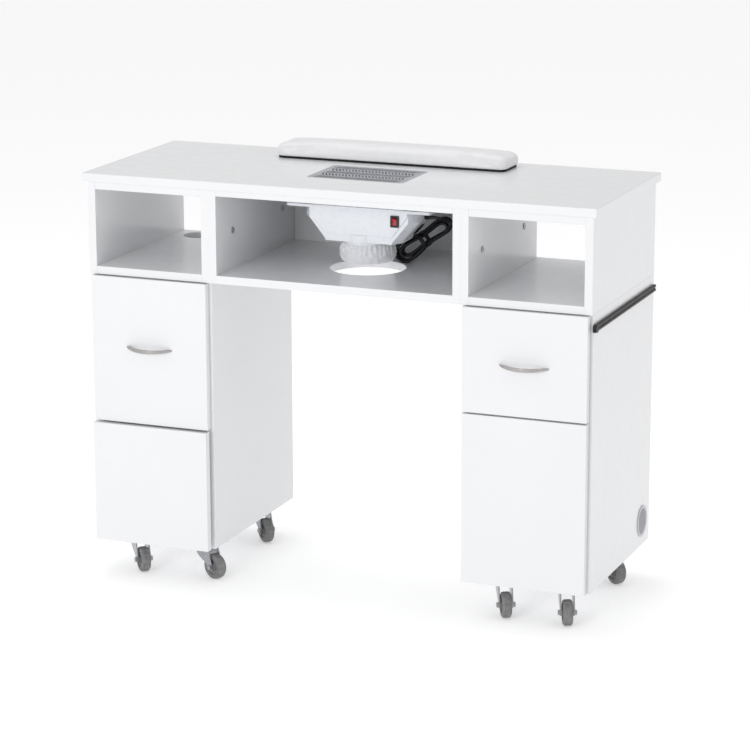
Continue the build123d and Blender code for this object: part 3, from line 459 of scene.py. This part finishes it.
def lofted(name, rings):
    """A closed form through rings of equally many points."""
    around = len(rings[0])
    points = [point for ring in rings for point in ring]
    faces = [tuple(reversed(range(around))), tuple(range(len(points) - around, len(points)))]
    for level in range(len(rings) - 1):
        for index in range(around):
            a = level * around + index
            b = level * around + (index + 1) % around
            faces.append((a, b, b + around, a + around))
    return mesh_from(name, points, faces)


# Share of the cushion's height, and how far the form lies inside its outline there.
CUSHION_RINGS = [(0.0, 0.0030), (0.10, 0.0008), (0.40, 0.0004), (0.62, 0.002), (0.78, 0.006), (0.88, 0.014)]
CUSHION_CORNER = 0.018
CUSHION_CROWN = 0.0015
CUSHION_VOXEL = 0.0045
CUSHION_SWELL = 0.005
CUSHION_PER_CORNER = 8
# The pad is held below this height over its base, and never sinks nearer the base than the second.
CUSHION_HELD = 0.003
CUSHION_CLEAR = 0.0002
CLOTH_FRAMES = 20


def cushion_form():
    """The pad before it is filled: smaller than the finished cushion, and crowned along its length."""
    low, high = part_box("armrest_cushion")
    centre = (low + high) / 2
    half_x, half_y = (high.x - low.x) / 2, (high.y - low.y) / 2
    rings = []
    for share, inset in CUSHION_RINGS:
        ring = []
        for x, y in oblong(half_x - inset, half_y - inset, CUSHION_CORNER - inset / 2, CUSHION_PER_CORNER):
            crown = CUSHION_CROWN * (1 - (x / half_x) ** 2) * share
            ring.append((centre.x + x, centre.y + y, low.z + share * (high.z - low.z) + crown))
        rings.append(ring)
    return lofted("armrest_pad", rings)


def simulate_filling(obj, held_below):
    """Swells the pad with air pressure. Vertices at its underside stay where they are."""
    scene = bpy.context.scene
    held = obj.vertex_groups.new(name="held")
    held.add([v.index for v in obj.data.vertices if v.co.z < held_below], 1.0, "REPLACE")
    cloth = obj.modifiers.new("cloth", "CLOTH")
    cloth.settings.quality = 6
    cloth.settings.mass = 0.3
    cloth.settings.tension_stiffness = 25
    cloth.settings.compression_stiffness = 25
    cloth.settings.shear_stiffness = 12
    cloth.settings.bending_stiffness = 1.5
    cloth.settings.use_pressure = True
    cloth.settings.uniform_pressure_force = 4
    cloth.settings.effector_weights.gravity = 0
    cloth.settings.vertex_group_mass = "held"
    for step in range(1, CLOTH_FRAMES + 1):
        scene.frame_set(step)
    shape = obj.evaluated_get(bpy.context.evaluated_depsgraph_get()).data
    moved = [v.co.copy() for v in shape.vertices]
    obj.modifiers.remove(cloth)
    scene.frame_set(1)
    return moved


def fit_in_plan(shape, low, high):
    """Stretches the pad along X and Y so that it covers its base as far as the finished cushion does."""
    for axis in (0, 1):
        reach = [vertex.co[axis] for vertex in shape.vertices]
        least, most = min(reach), max(reach)
        for vertex in shape.vertices:
            share = (vertex.co[axis] - least) / (most - least)
            vertex.co[axis] = low[axis] + share * (high[axis] - low[axis])


def make_cushion():
    """The armrest's pad: a form that is remeshed, filled by a cloth simulation and then smoothed."""
    low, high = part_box("armrest_cushion")
    pad = bpy.data.objects.new("armrest_pad", cushion_form())
    bpy.context.scene.collection.objects.link(pad)
    remesh = pad.modifiers.new("remesh", "REMESH")
    remesh.mode = "VOXEL"
    remesh.voxel_size = CUSHION_VOXEL
    remesh.use_smooth_shade = True
    shape = bpy.data.meshes.new_from_object(pad.evaluated_get(bpy.context.evaluated_depsgraph_get()))
    pad.modifiers.clear()
    pad.data = shape
    for vertex, place in zip(shape.vertices, simulate_filling(pad, low.z + CUSHION_HELD)):
        step = place - vertex.co
        vertex.co += step * min(1, CUSHION_SWELL / max(step.length, 1e-9))
        vertex.co.z = max(vertex.co.z, low.z + CUSHION_CLEAR)
    fit_in_plan(shape, low, high)
    pad.vertex_groups.clear()
    smooth = pad.modifiers.new("soften", "SMOOTH")
    smooth.factor = 0.5
    smooth.iterations = 2
    rounds = pad.modifiers.new("rounds", "SUBSURF")
    rounds.levels = rounds.render_levels = 1
    shape.materials.clear()
    shape.materials.append(materials["white_leather"])
    shape.polygons.foreach_set("use_smooth", [True] * len(shape.polygons))
    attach(pad, "frame")
    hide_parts("armrest_cushion")


make_cushion()


# ---------------------------------------------------------------- filter bag
# Share of the way from the hem to the middle of the bottom, radius as a share, height as a share.
BAG_PROFILE = [
    (0.00, 0.925, 1.00), (0.06, 0.915, 0.95), (0.12, 0.905, 0.88), (0.20, 0.95, 0.78), (0.30, 0.985, 0.62),
    (0.42, 1.0, 0.42), (0.52, 0.985, 0.22), (0.60, 0.93, 0.08), (0.68, 0.82, 0.02), (0.80, 0.55, 0.06),
    (0.92, 0.2, 0.12), (1.0, 0.02, 0.14),
]
BAG_AROUND = 240
BAG_RINGS = 56
BAG_PLEATS = 34
BAG_PLEAT_DEPTH = 0.0011
BAG_LUMP = 0.0022
BAG_CREASE = 0.0016
BAG_CLOTH = 0.0006
# The pleats have faded out at this share of the way.
BAG_PLEATS_END = 0.62


def along_profile(share):
    """Radius and height at a share of the way along the pouch's profile, eased between its points."""
    for (s0, r0, z0), (s1, r1, z1) in zip(BAG_PROFILE, BAG_PROFILE[1:]):
        if share <= s1:
            mix = (share - s0) / (s1 - s0)
            mix = mix * mix * (3 - 2 * mix) * 0.5 + mix * 0.5
            return r0 + (r1 - r0) * mix, z0 + (z1 - z0) * mix
    return BAG_PROFILE[-1][1:]


def bag_point(centre, radius, height, share, angle):
    """A point of the pouch: pleats drawn in at the hem, soft creases and lumps lower down."""
    r, z = along_profile(share)
    turn = Vector((math.cos(angle), math.sin(angle), 0))
    wander = 0.5 * noise.noise(turn * 3.1 + Vector((0, 0, 5 * share)))
    pleat = math.sin(BAG_PLEATS * angle + 4 * wander)
    fade = max(0.0, 1 - share / BAG_PLEATS_END)
    broad = noise.noise(turn * 4.2 + Vector((7, 3, 6 * share)))
    fine = noise.noise(turn * 11 + Vector((2, 9, 14 * share)))
    lump = broad + 0.5 * fine
    swell = min(1, share / 0.15) * min(1, (1 - share) / 0.1)
    out = radius * r + BAG_PLEAT_DEPTH * pleat * fade + BAG_LUMP * lump * swell
    crease = BAG_CREASE * noise.noise(turn * 7.5 * r + Vector((4, 1, 3 * share))) * min(1, share / 0.4)
    return centre + turn * out + Vector((0, 0, (z - 0.5) * height + crease))


def make_bag():
    """The filter bag: one open shell of cloth, gathered on the outlet collar."""
    low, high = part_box("filter_bag")
    centre = (low + high) / 2
    radius, height = (high.x - low.x) / 2, high.z - low.z
    points, faces = [], []
    for ring in range(BAG_RINGS):
        share = ring / (BAG_RINGS - 1)
        for index in range(BAG_AROUND):
            points.append(bag_point(centre, radius, height, share, 2 * math.pi * index / BAG_AROUND))
    for ring in range(BAG_RINGS - 1):
        for index in range(BAG_AROUND):
            a = ring * BAG_AROUND + index
            b = ring * BAG_AROUND + (index + 1) % BAG_AROUND
            faces.append((b, a, a + BAG_AROUND, b + BAG_AROUND))
    faces.append(tuple(range(len(points) - 1, len(points) - 1 - BAG_AROUND, -1)))
    mesh = mesh_from("dust_pouch", points, faces)
    bag = add_object("dust_pouch", mesh, "bag_cloth")
    cloth = bag.modifiers.new("cloth", "SOLIDIFY")
    cloth.thickness = BAG_CLOTH
    cloth.offset = 0
    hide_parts("filter_bag")


make_bag()


# ---------------------------------------------------------------- stage and light
FLOOR_HALF = 14
FLOOR_GLOW = 0.3


def make_stage():
    """A plain pale floor."""
    floor = bpy.data.meshes.new("floor")
    corners = [(x * FLOOR_HALF, y * FLOOR_HALF, 0) for x, y in ((-1, -1), (1, -1), (1, 1), (-1, 1))]
    floor.from_pydata(corners, [], [(0, 1, 2, 3)])
    obj = bpy.data.objects.new("floor", floor)
    bpy.context.scene.collection.objects.link(obj)
    mat, _, shader = new_material("floor_white", (0.9, 0.9, 0.9), 0.7, specular=0.1)
    shader.inputs["Emission Color"].default_value = (1, 1, 1, 1)
    shader.inputs["Emission Strength"].default_value = FLOOR_GLOW
    obj.data.materials.append(mat)


def area_light(name, place, target, size, watts):
    """A soft white light at place that faces target."""
    data = bpy.data.lights.new(name, "AREA")
    data.shape = "RECTANGLE"
    data.size, data.size_y = size
    data.energy = watts
    light = bpy.data.objects.new(name, data)
    bpy.context.scene.collection.objects.link(light)
    light.location = place
    light.rotation_euler = (Vector(target) - Vector(place)).to_track_quat("-Z", "Y").to_euler()


make_stage()
world = bpy.data.worlds.new("studio")
bpy.context.scene.world = world
world.use_nodes = True
world.node_tree.nodes["Background"].inputs["Color"].default_value = (1, 1, 1, 1)
world.node_tree.nodes["Background"].inputs["Strength"].default_value = 0.7
bpy.context.scene.view_settings.view_transform = "Standard"
area_light("key", (-0.8, -4.8, 1.7), (0, 0, 0.45), (1.6, 1.6), 60)
area_light("side", (4.0, -0.6, 1.8), (0.3, 0, 0.4), (1.6, 2.0), 7)
area_light("top", (-0.4, 0.6, 3.4), (0, 0, 0.7), (2.0, 2.0), 20)
